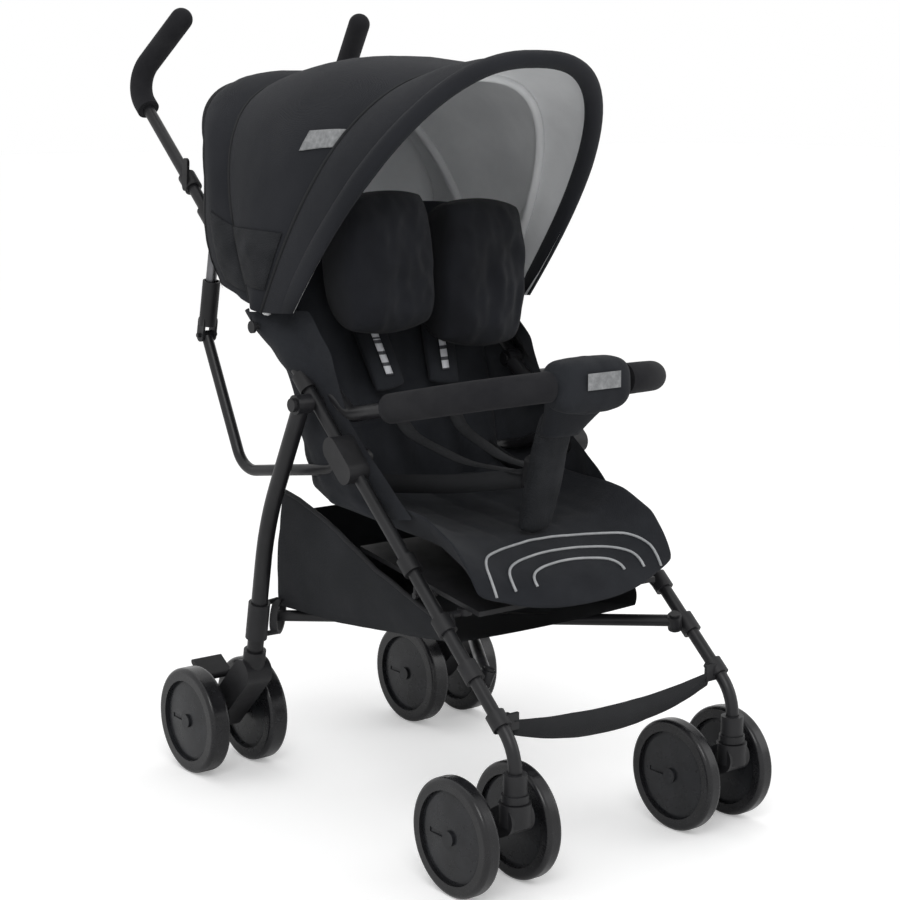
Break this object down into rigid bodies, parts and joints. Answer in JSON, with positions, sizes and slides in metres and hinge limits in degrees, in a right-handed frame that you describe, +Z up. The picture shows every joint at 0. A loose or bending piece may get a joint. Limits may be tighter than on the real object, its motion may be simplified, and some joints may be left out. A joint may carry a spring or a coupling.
{
  "type": "folding twin-wheel buggy",
  "caption": "Lightweight folding buggy with twin swivel front wheels, twin rear wheels, reclining padded seat, bumper bar, basket and folding canopy.",
  "frame": {"origin": "centre of the footprint box, on the ground", "axes": "+Z up, front towards -Y, the sitter's right towards -X"},
  "size_m": [0.4906, 0.8552, 1.0276],
  "materials": {
    "frame_paint": "satin black",
    "black_plastic": "fine matt",
    "wheel_plastic": "glossy",
    "grip_foam": "matt foam",
    "steel": "bright",
    "black_fabric": "woven",
    "canopy_fabric": "woven, silver-grey inside",
    "button_plastic": "glossy"
  },
  "bodies": {
    "frame": {"main_tube_right": "frame_paint", "main_tube_left": "frame_paint", "handle_grips": "grip_foam", "side_hubs": "black_plastic", "frame_bolts": "steel", "top_brackets": "black_plastic", "recline_sleeves": "steel", "canopy_clamps": "black_plastic", "seat_clamps": "black_plastic", "strap_brackets": "black_plastic", "footrest_strap": "black_fabric", "cross_tube_lugs": "black_plastic", "fork_sockets": "black_plastic", "seat_cushion": "black_fabric", "seat_board": "black_plastic", "crotch_pad": "black_fabric", "buckle": "black_plastic", "basket": "black_fabric", "bumper_brackets": "black_plastic", "canopy_rear": "canopy_fabric", "canopy_hoop_rear": "frame_paint"},
    "rear_leg_right": {"rear_leg_right": "frame_paint", "rear_housing_right": "black_plastic", "rear_axle_right": "steel", "guide_ring_right": "black_plastic"},
    "rear_leg_left": {"rear_leg_left": "frame_paint", "rear_housing_left": "black_plastic", "rear_axle_left": "steel", "guide_ring_left": "black_plastic"},
    "brake_right": {"brake_lever_right": "black_plastic"},
    "brake_left": {"brake_lever_left": "black_plastic"},
    "caster_right": {"front_fork_right": "black_plastic", "front_axle_right": "steel"},
    "caster_left": {"front_fork_left": "black_plastic", "front_axle_left": "steel"},
    "front_wheel_right_outer": {"front_wheel_right_outer": "wheel_plastic"},
    "front_wheel_right_inner": {"front_wheel_right_inner": "wheel_plastic"},
    "front_wheel_left_inner": {"front_wheel_left_inner": "wheel_plastic"},
    "front_wheel_left_outer": {"front_wheel_left_outer": "wheel_plastic"},
    "rear_wheel_right_outer": {"rear_wheel_right_outer": "wheel_plastic"},
    "rear_wheel_right_inner": {"rear_wheel_right_inner": "wheel_plastic"},
    "rear_wheel_left_inner": {"rear_wheel_left_inner": "wheel_plastic"},
    "rear_wheel_left_outer": {"rear_wheel_left_outer": "wheel_plastic"},
    "cross_tube_right": {"cross_tube_right": "frame_paint"},
    "cross_tube_left": {"cross_tube_left": "frame_paint"},
    "back": {"back_frame": "frame_paint", "back_cushion": "black_fabric", "back_bolsters": "black_fabric", "shoulder_pads": "black_fabric"},
    "recline_sliders": {"recline_sliders": "black_plastic"},
    "canopy_middle": {"canopy_middle": "canopy_fabric", "canopy_hoop_middle": "frame_paint"},
    "canopy_front": {"canopy_front": "canopy_fabric", "canopy_hoop_front": "frame_paint"},
    "bumper": {"bumper_bar": "frame_paint", "bumper_foam": "grip_foam", "bumper_cover": "black_fabric"},
    "buckle_button": {"buckle_button": "button_plastic"}
  },
  "joints": [
    {"name": "fold_right", "type": "hinge", "parent": "frame", "child": "rear_leg_right", "pos_m": [-0.197, -0.01526, 0.52876], "axis": [-1, 0, 0], "range_deg": [0, 29]},
    {"name": "fold_left", "type": "hinge", "parent": "frame", "child": "rear_leg_left", "pos_m": [0.197, -0.01526, 0.52876], "axis": [-1, 0, 0], "range_deg": [0, 29]},
    {"name": "cross_yaw_right", "type": "hinge", "parent": "frame", "child": "cross_tube_right", "pos_m": [0.152, -0.32725, 0.25832], "axis": [-0.286, -0.2161, 0.9335], "range_deg": [0, 14]},
    {"name": "cross_yaw_left", "type": "hinge", "parent": "frame", "child": "cross_tube_left", "pos_m": [-0.152, -0.32725, 0.24132], "axis": [-0.286, 0.2161, -0.9335], "range_deg": [0, 14]},
    {"name": "recline", "type": "hinge", "parent": "frame", "child": "back", "pos_m": [0, -0.08534, 0.46611], "axis": [-1, 0, 0], "range_deg": [0, 15]},
    {"name": "slider_pivot", "type": "hinge", "parent": "back", "child": "recline_sliders", "pos_m": [0, 0.25866, 0.58911], "axis": [-1, 0, 0], "range_deg": [-15, 0]},
    {"name": "canopy_middle", "type": "hinge", "parent": "frame", "child": "canopy_middle", "pos_m": [0, 0.08389, 0.61741], "axis": [-1, 0, 0], "range_deg": [0, 30]},
    {"name": "canopy_front", "type": "hinge", "parent": "canopy_middle", "child": "canopy_front", "pos_m": [0, 0.08389, 0.61741], "axis": [-1, 0, 0], "range_deg": [0, 12]},
    {"name": "bumper_swing", "type": "hinge", "parent": "frame", "child": "bumper", "pos_m": [0, 0.004, 0.55672], "axis": [-1, 0, 0], "range_deg": [0, 45]},
    {"name": "swivel_right", "type": "hinge", "parent": "frame", "child": "caster_right", "pos_m": [-0.175, -0.40813, 0.1], "axis": [0, 0, 1], "continuous": true},
    {"name": "swivel_left", "type": "hinge", "parent": "frame", "child": "caster_left", "pos_m": [0.175, -0.40813, 0.1], "axis": [0, 0, 1], "continuous": true},
    {"name": "front_spin_right_outer", "type": "hinge", "parent": "caster_right", "child": "front_wheel_right_outer", "pos_m": [-0.2205, -0.35713, 0.0705], "axis": [1, 0, 0], "continuous": true},
    {"name": "rear_spin_right_outer", "type": "hinge", "parent": "rear_leg_right", "child": "rear_wheel_right_outer", "pos_m": [-0.23, 0.20687, 0.072], "axis": [1, 0, 0], "continuous": true},
    {"name": "front_spin_right_inner", "type": "hinge", "parent": "caster_right", "child": "front_wheel_right_inner", "pos_m": [-0.1295, -0.35713, 0.0705], "axis": [1, 0, 0], "continuous": true},
    {"name": "rear_spin_right_inner", "type": "hinge", "parent": "rear_leg_right", "child": "rear_wheel_right_inner", "pos_m": [-0.139, 0.20687, 0.072], "axis": [1, 0, 0], "continuous": true},
    {"name": "brake_right", "type": "hinge", "parent": "rear_leg_right", "child": "brake_right", "pos_m": [-0.1845, 0.18687, 0.106], "axis": [-1, 0, 0], "range_deg": [0, 20]},
    {"name": "front_spin_left_outer", "type": "hinge", "parent": "caster_left", "child": "front_wheel_left_outer", "pos_m": [0.2205, -0.35713, 0.0705], "axis": [1, 0, 0], "continuous": true},
    {"name": "rear_spin_left_outer", "type": "hinge", "parent": "rear_leg_left", "child": "rear_wheel_left_outer", "pos_m": [0.23, 0.20687, 0.072], "axis": [1, 0, 0], "continuous": true},
    {"name": "front_spin_left_inner", "type": "hinge", "parent": "caster_left", "child": "front_wheel_left_inner", "pos_m": [0.1295, -0.35713, 0.0705], "axis": [1, 0, 0], "continuous": true},
    {"name": "rear_spin_left_inner", "type": "hinge", "parent": "rear_leg_left", "child": "rear_wheel_left_inner", "pos_m": [0.139, 0.20687, 0.072], "axis": [1, 0, 0], "continuous": true},
    {"name": "brake_left", "type": "hinge", "parent": "rear_leg_left", "child": "brake_left", "pos_m": [0.1845, 0.18687, 0.106], "axis": [-1, 0, 0], "range_deg": [0, 20]},
    {"name": "button_press", "type": "slide", "parent": "frame", "child": "buckle_button", "axis": [0, -0.989, -0.1478], "range_m": [0, 0.0025], "stiffness_N_per_m": 300}
  ],
  "couplings": [
    {"joint": "fold_left", "follows": "fold_right", "ratio": 1},
    {"joint": "cross_yaw_right", "follows": "fold_right", "ratio": 0.464},
    {"joint": "cross_yaw_left", "follows": "fold_right", "ratio": 0.464},
    {"joint": "slider_pivot", "follows": "recline", "ratio": -1},
    {"joint": "canopy_front", "follows": "canopy_middle", "ratio": 0.4}
  ]
}
